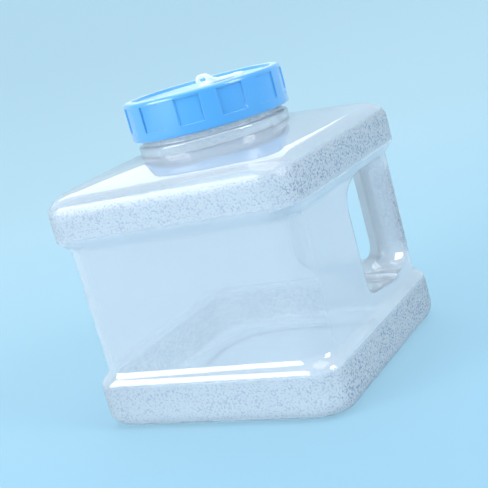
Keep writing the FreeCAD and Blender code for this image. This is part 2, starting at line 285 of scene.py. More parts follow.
def mesh_object(name: str, vertices: np.ndarray, faces: Sequence[Sequence[int]]) -> bpy.types.Object:
    """Makes an object of vertices and faces, with its faces turned outwards.

    Args:
        name: The object's name.
        vertices: Rows of coordinates.
        faces: Vertex numbers of each face, all wound the same way.

    Returns:
        The new object.
    """
    mesh = bpy.data.meshes.new(name)
    mesh.from_pydata(np.asarray(vertices).tolist(), [], [list(map(int, face)) for face in faces])
    if enclosed(mesh) < 0:
        mesh.flip_normals()
    mesh.update()
    return new_object(name, mesh)


def enclosed(mesh: bpy.types.Mesh) -> float:
    """Volume within a closed mesh.

    Args:
        mesh: The mesh.

    Returns:
        The volume, negative if the faces point inwards.
    """
    mesh.calc_loop_triangles()
    corners = np.empty(len(mesh.loop_triangles) * 3, np.int32)
    mesh.loop_triangles.foreach_get("vertices", corners)
    places = np.empty(len(mesh.vertices) * 3)
    mesh.vertices.foreach_get("co", places)
    a, b, c = places.reshape(-1, 3)[corners].reshape(-1, 3, 3).transpose(1, 0, 2)
    return float((a * np.cross(b, c)).sum() / 6)


def settled(thing: bpy.types.Object) -> bpy.types.Object:
    """Applies an object's modifiers.

    Args:
        thing: An object with modifiers.

    Returns:
        A new plain object of the same name. The old one is removed.
    """
    bpy.context.view_layer.update()
    result = thing.evaluated_get(bpy.context.evaluated_depsgraph_get())
    mesh = bpy.data.meshes.new_from_object(result)
    name = thing.name
    discard(thing)
    mesh.name = name
    return new_object(name, mesh)


def discard(thing: bpy.types.Object) -> None:
    """Removes an object and its mesh.

    Args:
        thing: The object.
    """
    mesh = thing.data
    bpy.data.objects.remove(thing)
    bpy.data.meshes.remove(mesh)


def combined(base: bpy.types.Object, tool: bpy.types.Object, operation: Operation) -> bpy.types.Object:
    """Joins one closed mesh to another, or cuts it away.

    Args:
        base: The object to change. It is removed.
        tool: The object that is added or cut away. It is removed.
        operation: Which of the two.

    Returns:
        The new object, named as the base was.
    """
    modifier = base.modifiers.new("Combine", "BOOLEAN")
    modifier.operation = operation.value
    modifier.solver = "MANIFOLD"
    modifier.object = tool
    result = settled(base)
    discard(tool)
    merge_slivers(result.data)
    return result


def merge_slivers(mesh: bpy.types.Mesh) -> None:
    """Merges points that touch and removes faces without area, which a cut leaves where surfaces meet.

    Args:
        mesh: The mesh to change.
    """
    shape = bmesh.new()
    shape.from_mesh(mesh)
    bmesh.ops.remove_doubles(shape, verts=shape.verts, dist=TOUCHING)
    bmesh.ops.dissolve_degenerate(shape, edges=shape.edges, dist=TOUCHING)
    bmesh.ops.triangulate(shape, faces=[face for face in shape.faces if len(face.verts) > 4])
    shape.to_mesh(mesh)
    shape.free()


def rounded_outline(corners: Sequence[tuple[float, float, float]], degrees: float = 12.0) -> Outline:
    """Line through corners with an arc in place of each that has a radius.

    Args:
        corners: (radius from the axis, height, fillet radius) of each corner, in order.
        degrees: The most that the line turns by from one point to the next, in an arc.

    Returns:
        The points of the line.
    """
    points: Outline = []
    count = len(corners)
    for index, (x, z, radius) in enumerate(corners):
        here = Vector((x, z))
        before = Vector(corners[index - 1][:2]) - here
        after = Vector(corners[(index + 1) % count][:2]) - here
        if not radius:
            points.append((x, z))
            continue
        before.normalize()
        after.normalize()
        half = before.angle(after) / 2
        centre = here + (before + after).normalized() * (radius / math.sin(half))
        start = here + before * (radius / math.tan(half)) - centre
        turn = math.pi - 2 * half
        side = math.copysign(1.0, before.x * after.y - before.y * after.x)
        steps = max(2, math.ceil(math.degrees(turn) / degrees))
        for step in range(steps + 1):
            angle = side * turn * step / steps
            cos, sin = math.cos(angle), math.sin(angle)
            points.append((
                centre.x + cos * start.x + sin * start.y,
                centre.y - sin * start.x + cos * start.y,
            ))
    return points


def turned(name: str, outline: Outline, segments: int) -> bpy.types.Object:
    """Turns an outline about the Z axis.

    Args:
        name: The object's name.
        outline: (radius, height) points. One that doesn't start on the axis closes on itself.
        segments: How many sides the turned shape has.

    Returns:
        The new object.
    """
    rows, vertices = [], []
    for radius, z in outline:
        if radius < ON_AXIS:
            rows.append([len(vertices)] * segments)
            vertices.append((0.0, 0.0, z))
            continue
        rows.append(list(range(len(vertices), len(vertices) + segments)))
        for k in range(segments):
            angle = math.tau * k / segments
            vertices.append((radius * math.cos(angle), radius * math.sin(angle), z))
    if outline[0][0] > ON_AXIS:
        rows.append(rows[0])
    faces = []
    for low, high in zip(rows, rows[1:]):
        for k in range(segments):
            ring = [low[k], low[(k + 1) % segments], high[(k + 1) % segments], high[k]]
            faces.append(list(dict.fromkeys(ring)))
    return mesh_object(name, np.array(vertices), faces)


def dress(thing: bpy.types.Object, finish: bpy.types.Material, crease: float) -> None:
    """Gives an object its one finish and its shading.

    Args:
        thing: The object.
        finish: Its material.
        crease: Degrees past which an edge stays sharp. The rest is shaded smooth.
    """
    thing.data.materials.clear()
    thing.data.materials.append(finish)
    thing.data.shade_smooth()
    thing.data.set_sharp_from_angle(angle=math.radians(crease))


# ---- node trees -----------------------------------------------------------------------------------------
class NodeBench:
    """A node tree under construction."""

    def __init__(self, tree: bpy.types.NodeTree) -> None:
        """Takes the tree to work on."""
        self.tree = tree

    def node(self, kind: str, links: dict | None = None, **settings: object) -> bpy.types.Node:
        """Adds a node.

        Args:
            kind: The node's type.
            links: Input name or number to a socket or a plain value.
            settings: The node's own properties.

        Returns:
            The node.
        """
        made = self.tree.nodes.new(kind)
        for key, value in settings.items():
            setattr(made, key, value)
        for key, value in (links or {}).items():
            self.put(made.inputs[key], value)
        return made

    def put(self, socket: Socket, value: object) -> None:
        """Feeds an input.

        Args:
            socket: The input.
            value: A socket to link to it, or its plain value.
        """
        if isinstance(value, Socket):
            self.tree.links.new(value, socket)
        else:
            socket.default_value = value

    def math(self, operation: str, first: object, second: object = 0.0) -> Socket:
        """Adds a Math node on sockets or plain numbers and returns its result."""
        return self.node("ShaderNodeMath", {0: first, 1: second}, operation=operation).outputs[0]

    def between(self, share: Socket, low: float, high: float) -> Socket:
        """Maps 0 to 1 onto low to high."""
        return self.node("ShaderNodeMapRange", {"Value": share, "To Min": low, "To Max": high}).outputs[0]


class GeometryTree(NodeBench):
    """A geometry node tree under construction, whose sizes are named inputs."""

    KINDS = {float: "NodeSocketFloat", int: "NodeSocketInt", bpy.types.Material: "NodeSocketMaterial"}
    MERGED = 0.005 * MM

    def __init__(self, name: str) -> None:
        """Starts an empty tree with a geometry input and output.

        Args:
            name: The tree's name.
        """
        super().__init__(bpy.data.node_groups.new(name, "GeometryNodeTree"))
        self.tree.is_modifier = True
        for side in ("INPUT", "OUTPUT"):
            self.tree.interface.new_socket("Geometry", in_out=side, socket_type="NodeSocketGeometry")
        self.inputs = self.tree.nodes.new("NodeGroupInput")
        self.outputs = self.tree.nodes.new("NodeGroupOutput")

    def size(self, name: str, kind: type = float) -> Socket:
        """Adds a named input and returns the socket that gives its value."""
        self.tree.interface.new_socket(name, in_out="INPUT", socket_type=self.KINDS[kind])
        return self.inputs.outputs[name]

    def finish(self, geometry: Socket, material: Socket) -> None:
        """Realizes the geometry, merges what touches, sets the material and ends the tree.

        Args:
            geometry: The finished geometry.
            material: The tree's material input.
        """
        real = self.node("GeometryNodeRealizeInstances", {0: geometry})
        merged = self.node("GeometryNodeMergeByDistance", {0: real.outputs[0], "Distance": self.MERGED})
        painted = self.node("GeometryNodeSetMaterial", {0: merged.outputs[0], "Material": material})
        self.tree.links.new(painted.outputs[0], self.outputs.inputs[0])

    def applied(self, carrier: bpy.types.Object, **sizes: object) -> bpy.types.Object:
        """Runs the tree on an object.

        Args:
            carrier: The object that the tree starts from. It is removed.
            sizes: Value of each named input, with underscores for the spaces in its name.

        Returns:
            A plain mesh object named as the carrier was.
        """
        modifier = carrier.modifiers.new(self.tree.name, "NODES")
        modifier.node_group = self.tree
        for item in self.tree.interface.items_tree:
            value = sizes.get(item.name.replace(" ", "_").lower())
            if item.in_out == "INPUT" and value is not None:
                modifier[item.identifier] = value
        return settled(carrier)


def thread_tree() -> GeometryTree:
    """Helical ridge on a cylinder, which runs out to nothing at both ends.

    Returns:
        A tree with inputs for the thread's sizes, started from an empty carrier.
    """
    least_swell, fillet = 0.05, 0.35 * MM
    tree = GeometryTree("Thread ridge")
    radius, depth, root, crest, lead, turns, start, runout = (
        tree.size(name)
        for name in ("Radius", "Depth", "Root width", "Crest width", "Lead", "Turns", "Start", "Runout")
    )
    segments, material = tree.size("Segments", int), tree.size("Material", bpy.types.Material)
    spiral = tree.node("GeometryNodeCurveSpiral", {
        "Resolution": segments,
        "Rotations": turns,
        "Start Radius": radius,
        "End Radius": radius,
        "Height": tree.math("MULTIPLY", lead, turns),
    })
    lift = tree.node("ShaderNodeCombineXYZ", {"Z": start})
    placed = tree.node("GeometryNodeSetPosition", {0: spiral.outputs[0], "Offset": lift.outputs[0]})
    upright = tree.node("GeometryNodeSetCurveNormal", {0: placed.outputs[0]}, mode="Z_UP")
    along = tree.node("GeometryNodeSplineParameter").outputs["Factor"]
    nearest_end = tree.math("MINIMUM", along, tree.math("SUBTRACT", 1.0, along))
    fade = tree.math("MINIMUM", tree.math("DIVIDE", nearest_end, runout), 1.0)
    swell = tree.math("SINE", tree.math("MULTIPLY", fade, math.pi / 2))
    swell = tree.math("MAXIMUM", swell, least_swell)
    tapered = tree.node("GeometryNodeSetCurveRadius", {0: upright.outputs[0], "Radius": swell})
    section = tree.node("GeometryNodeCurvePrimitiveQuadrilateral", {
        "Height": tree.math("MULTIPLY", depth, 2.0),
        "Bottom Width": tree.math("SUBTRACT", tree.math("MULTIPLY", root, 2.0), crest),
        "Top Width": crest,
        "Offset": 0.0,
    }, mode="TRAPEZOID")
    rounded = tree.node("GeometryNodeFilletCurve", {0: section.outputs[0], "Radius": fillet})
    swept = tree.node("GeometryNodeCurveToMesh", {
        0: tapered.outputs[0], 1: rounded.outputs[0], "Fill Caps": True,
    })
    tree.finish(swept.outputs[0], material)
    return tree


def ring_tree() -> GeometryTree:
    """Copies of the carrier's mesh, turned about the Z axis to make a whole ring.

    Returns:
        A tree whose carrier is one sector of the ring.
    """
    tree = GeometryTree("Ring of sectors")
    count = tree.size("Count", int)
    material = tree.size("Material", bpy.types.Material)
    points = tree.node("GeometryNodePoints", {"Count": count})
    index = tree.node("GeometryNodeInputIndex").outputs[0]
    step = tree.math("DIVIDE", math.tau, count)
    turn = tree.node("ShaderNodeCombineXYZ", {"Z": tree.math("MULTIPLY", index, step)})
    copies = tree.node("GeometryNodeInstanceOnPoints", {
        "Points": points.outputs[0],
        "Instance": tree.inputs.outputs["Geometry"],
        "Rotation": turn.outputs[0],
    })
    tree.finish(copies.outputs[0], material)
    return tree


@dataclass(frozen=True)
class Thread:
    """Right-hand thread of the neck and the cap."""

    turns: float
    runout: float
    lead: float = 6 * MM
    depth: float = 1.9 * MM
    root: float = 2.6 * MM
    crest: float = 1.2 * MM

    def ridge(
        self, name: str, radius: float, start: float, segments: int, finish: bpy.types.Material
    ) -> bpy.types.Object:
        """Makes the ridge round the Z axis.

        Args:
            name: The object's name.
            radius: Radius of the cylinder that carries it.
            start: Height of its lower end.
            segments: How many steps it has in each turn.
            finish: Its material.

        Returns:
            A closed object.
        """
        return thread_tree().applied(
            new_object(name, bpy.data.meshes.new(name)),
            radius=radius,
            depth=self.depth,
            root_width=self.root,
            crest_width=self.crest,
            lead=self.lead,
            turns=self.turns,
            start=start,
            runout=self.runout,
            segments=segments,
            material=finish,
        )


# ---- finishes -------------------------------------------------------------------------------------------
class ShaderBench(NodeBench):
    """A material under construction."""

    def __init__(self, name: str) -> None:
        """Starts a material with its output and a Principled shader.

        Args:
            name: The material's name.
        """
        self.material = bpy.data.materials.new(name)
        self.material.use_nodes = True
        super().__init__(self.material.node_tree)
        self.tree.nodes.clear()
        self.output = self.tree.nodes.new("ShaderNodeOutputMaterial")
        self.shader = self.tree.nodes.new("ShaderNodeBsdfPrincipled")
        self.tree.links.new(self.shader.outputs[0], self.output.inputs["Surface"])
        self.place = self.node("ShaderNodeTexCoord").outputs["Object"]

    def shade(self, **values: object) -> bpy.types.Material:
        """Feeds the Principled shader.

        Args:
            values: Socket or plain value of each input, with underscores for the spaces in its name.

        Returns:
            The material.
        """
        for key, value in values.items():
            self.put(self.shader.inputs[key.replace("_", " ").title().replace("Ior", "IOR")], value)
        return self.material

    def noise(self, grain: float, detail: float = 2.0) -> Socket:
        """Noise from 0 to 1 with bumps of about this size."""
        links = {"Vector": self.place, "Scale": 1 / grain, "Detail": detail}
        return self.node("ShaderNodeTexNoise", links).outputs[0]

    def mixed(self, share: Socket, low: Colour | Socket, high: Colour | Socket) -> Socket:
        """Mixes two colours by a share from 0 to 1."""
        first, second = (value if isinstance(value, Socket) else (*value, 1.0) for value in (low, high))
        return self.node("ShaderNodeMix", {0: share, 6: first, 7: second}, data_type="RGBA").outputs[2]

    def bump(self, height: Socket, depth: float, under: Socket | None = None) -> Socket:
        """Normal of a surface whose height varies.

        Args:
            height: Height from 0 to 1.
            depth: How high 1 is, in metres.
            under: Normal of the surface under it, where there is one.

        Returns:
            The normal.
        """
        links = {"Height": height, "Distance": depth, "Strength": 1.0}
        if under is not None:
            links["Normal"] = under
        return self.node("ShaderNodeBump", links).outputs[0]


@dataclass(frozen=True)
class ClearPlastic:
    """Blow-moulded clear plastic, smooth on the panels and pebbled where its attribute says. The pebbles are
    painted darker in their valleys and paler on their crowns: painted shade and painted highlight.
    """

    tint: Colour = (0.90, 0.955, 1.0)
    # Painted shade in the pebbles' valleys and painted highlight on their crowns.
    valley_shade: Colour = (0.26, 0.37, 0.56)
    crown_highlight: Colour = (0.98, 0.99, 1.0)
    pebble: float = 1.25 * MM
    pebble_depth: float = 0.35 * MM
    valley_from: float = 0.82
    crown_from: float = 0.5
    patch: float = 6 * MM
    patch_least: float = 0.7
    patch_most: float = 1.15
    frost_from: float = 0.3
    ripple: float = 38 * MM
    ripple_depth: float = 0.25 * MM

    def material(self) -> bpy.types.Material:
        """Builds the material.

        Returns:
            The material.
        """
        bench = ShaderBench("clear_plastic")
        share = bench.node("ShaderNodeAttribute", attribute_name="pebble").outputs["Fac"]
        patches = bench.between(bench.noise(self.patch), self.patch_least, self.patch_most)
        mask = bench.math("MULTIPLY", share, patches)
        frosted = bench.node("ShaderNodeMapRange", {"Value": mask, "From Max": self.frost_from}).outputs[0]
        cells = bench.node("ShaderNodeTexVoronoi", {
            "Vector": bench.place, "Scale": 1 / self.pebble, "Randomness": 1.0,
        }).outputs["Distance"]
        crown_height_and_shade = bench.node("ShaderNodeMapRange", {
            "Value": cells, "From Min": self.valley_from, "From Max": self.crown_from,
        }).outputs[0]
        ripple = bench.bump(bench.noise(self.ripple, 1.0), self.ripple_depth)
        # Painted shade and highlight: on the pebbled zones the colour is darker in the pebbles' valleys and
        # paler on their crowns.
        return bench.shade(
            base_color=bench.mixed(mask, self.tint, bench.mixed(crown_height_and_shade, self.valley_shade, self.crown_highlight)),
            roughness=bench.between(frosted, 0.04, 0.31),
            ior=1.57,
            transmission_weight=0.74,
            normal=bench.bump(bench.math("MULTIPLY", crown_height_and_shade, mask), self.pebble_depth, ripple),
        )


@dataclass(frozen=True)
class BluePlastic:
    """Injection-moulded translucent blue plastic with a soft gloss."""

    deep: Colour = (0.10, 0.45, 0.91)
    pale: Colour = (0.14, 0.51, 0.93)
    flow: float = 30 * MM
    grain: float = 0.5 * MM
    grain_depth: float = 0.004 * MM

    def material(self) -> bpy.types.Material:
        """Builds the material.

        Returns:
            The material.
        """
        bench = ShaderBench("blue_plastic")
        flow = bench.noise(self.flow, 1.0)
        return bench.shade(
            base_color=bench.mixed(flow, self.deep, self.pale),
            roughness=bench.between(flow, 0.26, 0.34),
            ior=1.5,
            transmission_weight=0.2,
            coat_weight=0.8,
            coat_ior=1.6,
            coat_roughness=0.16,
            sheen_weight=0.7,
            sheen_roughness=0.45,
            sheen_tint=(0.86, 0.93, 1.0, 1.0),
            normal=bench.bump(bench.noise(self.grain), self.grain_depth),
        )


@dataclass(frozen=True)
class Silicone:
    """Soft moulded rubber with a satin surface."""

    name: str
    colour: Colour
    shade: Colour
    patch: float = 6 * MM
    grain: float = 0.6 * MM
    grain_depth: float = 0.01 * MM

    def material(self) -> bpy.types.Material:
        """Builds the material.

        Returns:
            The material.
        """
        bench = ShaderBench(self.name)
        patch = bench.noise(self.patch)
        return bench.shade(
            base_color=bench.mixed(patch, self.shade, self.colour),
            roughness=bench.between(patch, 0.38, 0.5),
            normal=bench.bump(bench.noise(self.grain), self.grain_depth),
        )


@dataclass(frozen=True)
class StudioPaint:
    """Matt pale blue paint of the studio, deeper on the floor in front and paler behind and above.

    Rays from the camera, and those that glossy surfaces pass on, see its colour partly unlit. Rays that clear
    surfaces pass on see a paler colour, unlit by the share unlit_through. This is a painted glow that covers
    the object's shadow on the floor and makes the clear body look paler.
    """

    front: Colour = (0.25, 0.54, 0.75)
    behind: Colour = (0.56, 0.80, 0.91)
    # Paler colour seen through clear plastic: a painted glow.
    through: Colour = (0.82, 0.92, 1.0)
    direction: tuple[float, float, float] = (-0.45, 0.80, 0.55)
    reach: float = 1.6
    unlit: float = 0.6
    unlit_through: float = 1.0

    def material(self) -> bpy.types.Material:
        """Builds the material.

        Returns:
            The material.
        """
        bench = ShaderBench("studio_paint")
        dot = {0: bench.place, 1: self.direction}
        level = bench.node("ShaderNodeVectorMath", dot, operation="DOT_PRODUCT").outputs["Value"]
        share = bench.node("ShaderNodeMapRange", {
            "Value": level, "From Min": -self.reach, "From Max": self.reach,
        }, interpolation_type="SMOOTHSTEP").outputs[0]
        colour = bench.mixed(share, self.front, self.behind)
        ray = bench.node("ShaderNodeLightPath").outputs
        # Painted glow: rays through clear plastic see the paler colour unlit, which paints over the object's
        # shadow on the floor.
        clear = ray["Is Transmission Ray"]
        glow = bench.node("ShaderNodeEmission", {"Color": bench.mixed(clear, colour, self.through)})
        direct = bench.math("MAXIMUM", ray["Is Camera Ray"], ray["Is Glossy Ray"])
        direct = bench.math("MULTIPLY", direct, self.unlit)
        unlit = bench.math("MAXIMUM", direct, bench.math("MULTIPLY", clear, self.unlit_through))
        blend = bench.node("ShaderNodeMixShader", {0: unlit, 1: bench.shader.outputs[0], 2: glow.outputs[0]})
        bench.put(bench.output.inputs["Surface"], blend.outputs[0])
        return bench.shade(base_color=colour, roughness=0.9, specular_ior_level=0.0)


# ---- jug body -------------------------------------------------------------------------------------------
@dataclass
class JugBody:
    """Blow-moulded body with its hollow grip, collar and threaded neck."""

    half: float
    lip: float
    band_corner: float = 18 * MM
    panel_inset: float = 5 * MM
    panel_corner: float = 20 * MM
    wall: float = 1.6 * MM
    standing_edge: float = 9 * MM
    lower_turn: float = 37.0
    upper_turn: float = 34.0
    base_band: float = 34 * MM
    base_slope: float = 6.5 * MM
    panel_height: float = 90 * MM
    upper_slope: float = 7.5 * MM
    shoulder_rise: float = 18 * MM
    shoulder_edge: float = 12 * MM
    shoulder_drop: float = 10.4 * MM
    shoulder_crown: float = 1.14
    shoulder_tilt: float = 14.0
    lower_edge: float = 9 * MM
    upper_edge: float = 4 * MM
    upper_crease: float = 1.6 * MM
    recess_margin: float = 21 * MM
    recess_corner: float = 34 * MM
    recess_depth: float = 8 * MM
    recess_slope: float = 2.0
    recess_turn: float = 63.0
    recess_roof: float = 5 * MM
    recess_rim: float = 4 * MM
    grip_depth: float = 24.5 * MM
    grip_width: float = 30 * MM
    grip_edge: float = 9 * MM
    grip_head: float = 5 * MM
    grip_root: float = 12 * MM
    finger_gap: float = 37.5 * MM
    notch_top_blend: float = 16 * MM
    notch_foot_blend: float = 5 * MM
    notch_edge: float = 3.8 * MM
    notch_turn: float = 45.0
    floor_rise: float = 11.7 * MM
    floor_lip: float = 0.5 * MM
    foot_rise: float = 4 * MM
    foot_near: float = 26 * MM
    foot_far: float = 90 * MM
    foot_edge: float = 2.4 * MM
    neck_radius: float = 50.3 * MM
    neck_wall: float = 2.5 * MM
    neck_height: float = 25 * MM
    neck_sunk: float = 4 * MM
    collar_reach: float = 3.4 * MM
    collar_height: float = 7 * MM
    collar_draft: float = 0.4 * MM
    collar_edge: float = 1.7 * MM
    collar_root: float = 0.8 * MM
    lip_edge: float = 0.9 * MM
    lip_flare: float = 0.7 * MM
    thread: Thread = Thread(turns=1.5, runout=0.08)
    thread_below_lip: float = 4 * MM
    segments: int = 144
    inner_spacing: float = 1.25
    halvings: int = 22
    crease: float = 50.0

    @property
    def slope_top(self) -> float:
        """Height of the base slope's upper edge."""
        return self.base_band + self.base_slope

    @property
    def panel_top(self) -> float:
        """Height of the panels' upper edge."""
        return self.slope_top + self.panel_height

    @property
    def panel_middle(self) -> float:
        """Height of the panels' middle."""
        return (self.slope_top + self.panel_top) / 2

    @property
    def shoulder_top(self) -> float:
        """Height of the collar's foot."""
        return self.lip - self.neck_height - self.collar_height

    @property
    def band_foot(self) -> float:
        """Height of the upper band's lower edge."""
        return self.panel_top + self.upper_slope

    @property
    def band_top(self) -> float:
        """Height where the shoulder begins."""
        return self.shoulder_top - self.shoulder_rise

    @property
    def collar_radius(self) -> float:
        """Outer radius of the collar."""
        return self.neck_radius + self.collar_reach

    @property
    def panel_reach(self) -> float:
        """Distance of the panels' rounded corner from the axis, along the diagonal."""
        return (self.half - self.panel_inset - self.panel_corner) * DIAGONAL + self.panel_corner

    @property
    def notch_wall(self) -> float:
        """Distance of the notch's inner wall from the axis, along the diagonal."""
        return self.panel_reach - self.grip_depth - self.finger_gap

    def corner_radius(self, half: np.ndarray) -> np.ndarray:
        """Corner radius of the outline, rounder inwards and near a circle at the collar.

        Args:
            half: Half widths of the outline.

        Returns:
            One radius for each half width.
        """
        inward = self.half - half
        first = (self.panel_corner - self.band_corner) / self.panel_inset
        reach = self.half - self.collar_radius
        second = (self.collar_radius - MM - self.band_corner - first * reach) / reach**2
        radius = self.band_corner + first * inward + second * inward**2
        return np.where(inward > reach, half - MM, radius)

    def half_width(self, x: np.ndarray, y: np.ndarray) -> np.ndarray:
        """Half width of the outline that passes through each point, seen from above.

        Args:
            x: First coordinates.
            y: Second coordinates.

        Returns:
            The half widths, found by halving.
        """
        big, small = np.maximum(np.abs(x), np.abs(y)), np.minimum(np.abs(x), np.abs(y))
        low, high = big.copy(), np.hypot(x, y)
        for _ in range(self.halvings):
            middle = (low + high) / 2
            corner = self.corner_radius(middle)
            core = middle - corner
            outside = np.hypot(np.maximum(big - core, 0), np.maximum(small - core, 0)) > corner
            low, high = np.where(outside, middle, low), np.where(outside, high, middle)
        return (low + high) / 2

    def trunk(self, half: np.ndarray, z: np.ndarray) -> np.ndarray:
        """Signed distance to the body without its corner notch.

        Args:
            half: Half width of the outline through each point.
            z: Heights.

        Returns:
            One distance for each point.
        """
        panel = self.half - self.panel_inset
        block = soft_max(half - self.half, -z, reach_for(self.standing_edge))
        share = np.clip((half - self.collar_radius) / (self.half - self.collar_radius), 0, None)
        roof = z - self.shoulder_top + self.shoulder_drop * share**self.shoulder_crown
        roof *= math.cos(math.radians(self.shoulder_tilt))
        block = soft_max(block, roof, reach_for(self.shoulder_edge, RIGHT_ANGLE - self.shoulder_tilt))
        lower = from_line(half, z, (self.half, self.base_band), (panel, self.slope_top))
        upper = from_line(half, z, (panel, self.panel_top), (self.half, self.band_foot))
        bottom_edge = reach_for(self.lower_edge, self.lower_turn)
        groove = soft_max(-lower, panel - half, bottom_edge)
        groove = soft_max(groove, -upper, reach_for(self.upper_crease, self.upper_turn))
        edge = np.where(z < self.panel_middle, bottom_edge, reach_for(self.upper_edge, self.upper_turn))
        return soft_max(block, -groove, edge)

    def floor_height(self, along: np.ndarray) -> np.ndarray:
        """Height of the notch's sloping floor, from the distance along the diagonal."""
        fall = (self.floor_rise - self.floor_lip) / (self.panel_reach - self.notch_wall)
        return self.slope_top + self.floor_rise - fall * (along - self.notch_wall)

    def corner(self, along: np.ndarray, across: np.ndarray, z: np.ndarray) -> np.ndarray:
        """Signed distance to what is left of the notched corner: its wall, floor and foot, and the grip.

        Args:
            along: Distances from the axis along the handle's diagonal.
            across: Distances from that diagonal.
            z: Heights.

        Returns:
            One distance for each point.
        """
        depth = self.panel_reach - self.notch_wall
        floor = (z - self.floor_height(along)) * math.cos(math.atan2(self.floor_rise, depth))
        space = soft_max(self.notch_wall - along, -floor, reach_for(self.notch_foot_blend))
        space = soft_max(space, z - self.panel_top, reach_for(self.notch_top_blend))
        widening = (self.foot_far - self.foot_near) / 2 / depth
        flank = np.abs(across) - self.foot_near / 2 - widening * (along - self.notch_wall)
        flank *= math.cos(math.atan(widening))
        foot = soft_max(flank, floor - self.foot_rise, reach_for(self.foot_edge))
        inner = self.panel_reach - self.grip_depth + self.grip_edge - along
        side = np.abs(across) - self.grip_width / 2 + self.grip_edge
        grip = outside_box(inner, side, self.grip_edge)
        kept = soft_min(-space, foot, reach_for(self.foot_edge))
        root, head = reach_for(self.grip_root), reach_for(self.grip_head)
        return soft_min(kept, grip, np.where(z < self.panel_middle, root, head))

    def recess(self, x: np.ndarray, y: np.ndarray, z: np.ndarray) -> np.ndarray:
        """Signed distance to the hollow pushed up under the base.

        Args:
            x: First coordinates.
            y: Second coordinates.
            z: Heights.

        Returns:
            One distance for each point.
        """
        core = self.half - self.recess_margin - self.recess_slope * z - self.recess_corner
        big, small = np.maximum(np.abs(x), np.abs(y)) - core, np.minimum(np.abs(x), np.abs(y)) - core
        flank = outside_box(big, small, self.recess_corner) / math.hypot(1, self.recess_slope)
        return soft_max(flank, z - self.recess_depth, reach_for(self.recess_roof, self.recess_turn))

    def solid(self, points: np.ndarray) -> np.ndarray:
        """Signed distance to the whole body without its neck, as if it were filled.

        Args:
            points: Rows of coordinates.

        Returns:
            One distance for each row.
        """
        x, y, z = points.T
        along, across = (x + y) / DIAGONAL, (y - x) / DIAGONAL
        body = self.trunk(self.half_width(x, y), z)
        corner = self.corner(along, across, z)
        body = soft_max(body, corner, reach_for(self.notch_edge, self.notch_turn))
        return soft_max(body, -self.recess(x, y, z), reach_for(self.recess_rim, self.recess_turn))

    def net(self, coarser: float) -> SurfaceNet:
        """Net for the outer surface, fine where it bends and coarse on the panels.

        Args:
            coarser: Factor on all the spacings.

        Returns:
            The net.
        """
        finest, fine, medium, wide, coarse = (step * MM * coarser for step in (1.2, 1.5, 2.2, 3, 4.2))
        shoulder = 1.7 * MM * coarser
        margin, corner, corner_fade, far_half = 2 * MM, 22 * MM, 6 * MM, 24 * MM
        recess_top, base_edge, slope_end = 12 * MM, 5 * MM, 60 * MM
        notch_head, panel_edge, band_edge, shoulder_bend = 19 * MM, 4 * MM, 3 * MM, 6 * MM
        side = grid_line(
            (-self.half - margin, fine),
            (corner - self.half, coarse),
            (far_half, medium),
            (self.half - corner - corner_fade, fine),
            (self.half + margin, 0),
        )
        upright = grid_line(
            (-margin, fine),
            (recess_top, wide),
            (self.base_band - base_edge, fine),
            (slope_end, coarse),
            (self.panel_top - notch_head, medium),
            (self.panel_top - panel_edge, finest),
            (self.band_foot + band_edge, wide),
            (self.band_top - shoulder_bend, shoulder),
            (self.shoulder_top + margin, 0),
        )
        return SurfaceNet(self.solid, (side, side, upright))

    def hull(self) -> bpy.types.Object:
        """Outer skin of the body, closed over the mouth."""
        return mesh_object("jug_skin", *self.net(1.0).build())

    def cavity(self) -> bpy.types.Object:
        """Makes the inner skin of the body, one wall's thickness inside the outer one.

        Returns:
            A closed object.
        """
        net = self.net(self.inner_spacing)
        vertices, quads = net.build()
        slope = net.slope(vertices)
        vertices = vertices - slope / np.linalg.norm(slope, axis=1, keepdims=True) * self.wall
        return mesh_object("jug_cavity", vertices, quads)

    def neck(self, finish: bpy.types.Material) -> bpy.types.Object:
        """Makes the collar and the neck as a solid plug, with the thread on it.

        Args:
            finish: The clear plastic.

        Returns:
            A closed object.
        """
        foot, top = self.shoulder_top, self.shoulder_top + self.collar_height
        plug = turned("neck_plug", rounded_outline([
            (0, foot - self.neck_sunk, 0),
            (self.neck_radius, foot - self.neck_sunk, 0),
            (self.neck_radius, foot - MM, 0),
            (self.collar_radius - self.collar_draft, foot - MM, 0),
            (self.collar_radius, top, self.collar_edge),
            (self.neck_radius, top, self.collar_root),
            (self.neck_radius, self.lip, self.lip_edge),
            (0, self.lip, 0),
        ]), self.segments)
        start = self.lip - self.thread_below_lip - self.thread.turns * self.thread.lead
        ridge = self.thread.ridge("neck_thread", self.neck_radius, start, self.segments, finish)
        return combined(plug, ridge, Operation.JOIN)

    def bore(self) -> bpy.types.Object:
        """Makes what is cut away to open the mouth.

        Returns:
            A closed object.
        """
        radius, flare = self.neck_radius - self.neck_wall, self.lip_flare
        outline = [(0, self.band_top), (radius, self.band_top), (radius, self.lip - flare)]
        outline += [(radius + 2 * flare, self.lip + flare), (0, self.lip + flare)]
        return turned("mouth_bore", outline, self.segments)

    def mark_pebbles(self, thing: bpy.types.Object) -> None:
        """Stores how strongly each point is pebbled: the two bands and the outside of the grip.

        Args:
            thing: The body.
        """
        places = np.empty(len(thing.data.vertices) * 3)
        thing.data.vertices.foreach_get("co", places)
        places = places.reshape(-1, 3)
        x, y, z = places.T

        def rise(distance: np.ndarray, start: float, length: float) -> np.ndarray:
            """Share that rises from 0 to 1 over a length."""
            return np.clip((distance - start) / length, 0, 1)

        def zone(low: float, high: float, fade: float) -> np.ndarray:
            """Share that rises from 0 at two heights to 1 between them."""
            return rise(z, low, fade) * rise(-z, -high, fade)

